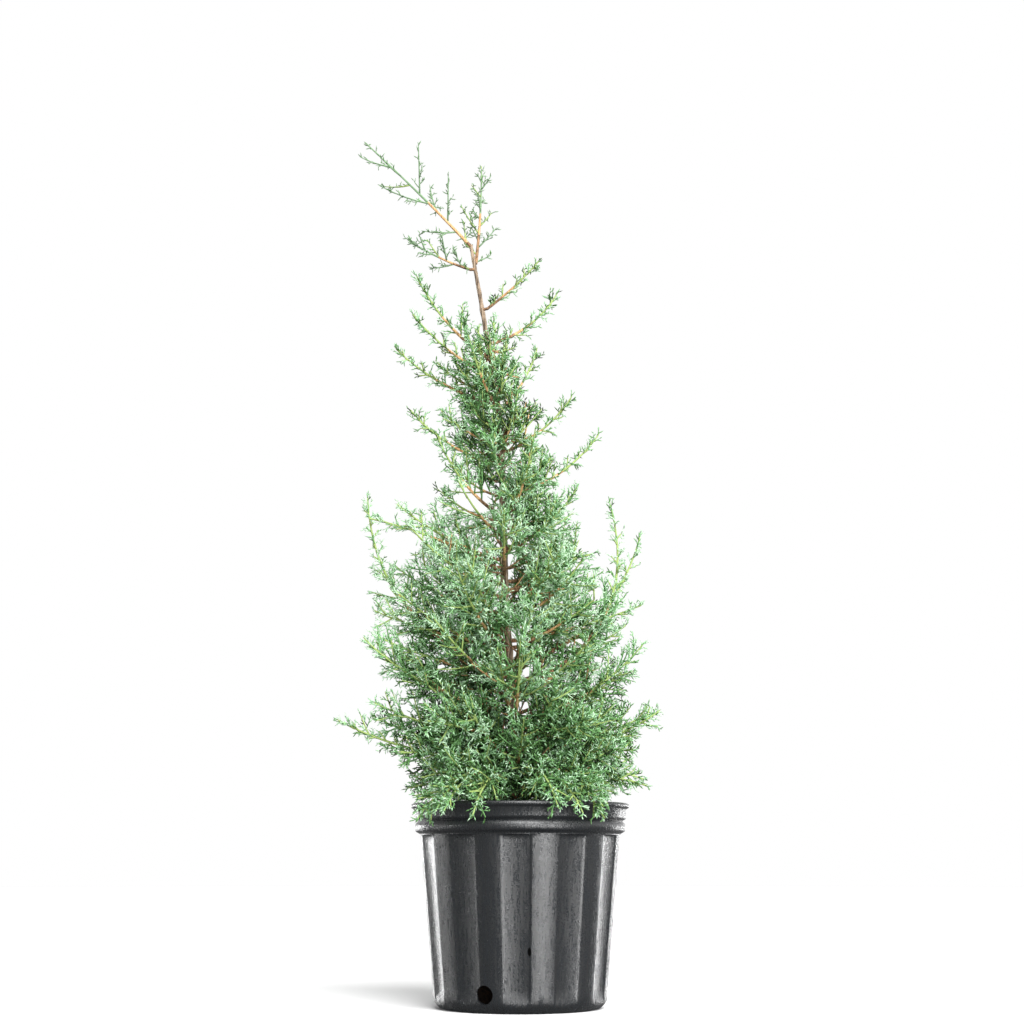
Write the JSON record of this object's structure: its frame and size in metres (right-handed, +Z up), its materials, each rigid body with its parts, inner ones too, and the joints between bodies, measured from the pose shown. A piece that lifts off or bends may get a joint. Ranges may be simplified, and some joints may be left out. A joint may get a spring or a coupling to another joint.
{
  "type": "potted upright juniper",
  "caption": "Young upright juniper with a leaning, open, pointed crown of feathery sprays on a slim trunk, in a round black ribbed nursery pot.",
  "frame": {"origin": "centre of the pot's flat underside, on the ground", "axes": "+Z up along the plant, -Y towards the front of the plant, +X to its right seen from the front"},
  "size_m": [0.4705, 0.3666, 1.2659],
  "materials": {
    "pot": "satin black, ribbed and slightly streaked",
    "soil": "rough dark bark mix",
    "bark": "rough, fissured lengthways",
    "foliage": "matte silvery green"
  },
  "bodies": {
    "root": {"bough_back_1": "bark", "bough_back_2": "bark", "bough_far_right": "bark", "bough_left_arm": "bark", "bough_left_plume": "bark", "bough_left_sweep": "bark", "bough_low_front": "bark", "bough_low_left": "bark", "bough_low_right": "bark", "bough_right_plume": "bark", "bough_right_sweep": "bark", "bough_skirt_left": "bark", "bough_skirt_right": "bark", "foliage_back_1": "foliage", "foliage_back_2": "foliage", "foliage_back_3": "foliage", "foliage_back_4": "foliage", "foliage_back_5": "foliage", "foliage_back_6": "foliage", "foliage_back_7": "foliage", "foliage_back_8": "foliage", "foliage_crown_left": "foliage", "foliage_crown_right": "foliage", "foliage_far_right": "foliage", "foliage_front_left": "foliage", "foliage_front_right": "foliage", "foliage_high_back": "foliage", "foliage_high_front": "foliage", "foliage_high_left": "foliage", "foliage_high_right": "foliage", "foliage_inner_left": "foliage", "foliage_inner_right": "foliage", "foliage_leader": "foliage", "foliage_left_arm": "foliage", "foliage_left_plume": "foliage", "foliage_left_sweep": "foliage", "foliage_long_right": "foliage", "foliage_low_front": "foliage", "foliage_low_left": "foliage", "foliage_low_middle_right": "foliage", "foliage_low_right": "foliage", "foliage_middle_front": "foliage", "foliage_middle_front_left": "foliage", "foliage_middle_left": "foliage", "foliage_middle_right": "foliage", "foliage_right_plume": "foliage", "foliage_right_sweep": "foliage", "foliage_shoulder_left": "foliage", "foliage_shoulder_right": "foliage", "foliage_skirt_far_left": "foliage", "foliage_skirt_far_right": "foliage", "foliage_skirt_front_left": "foliage", "foliage_skirt_front_right": "foliage", "foliage_skirt_left": "foliage", "foliage_skirt_right": "foliage", "foliage_top_fork": "foliage", "foliage_top_left": "foliage", "pot": "pot", "soil": "soil", "trunk": "bark"}
  },
  "joints": []
}
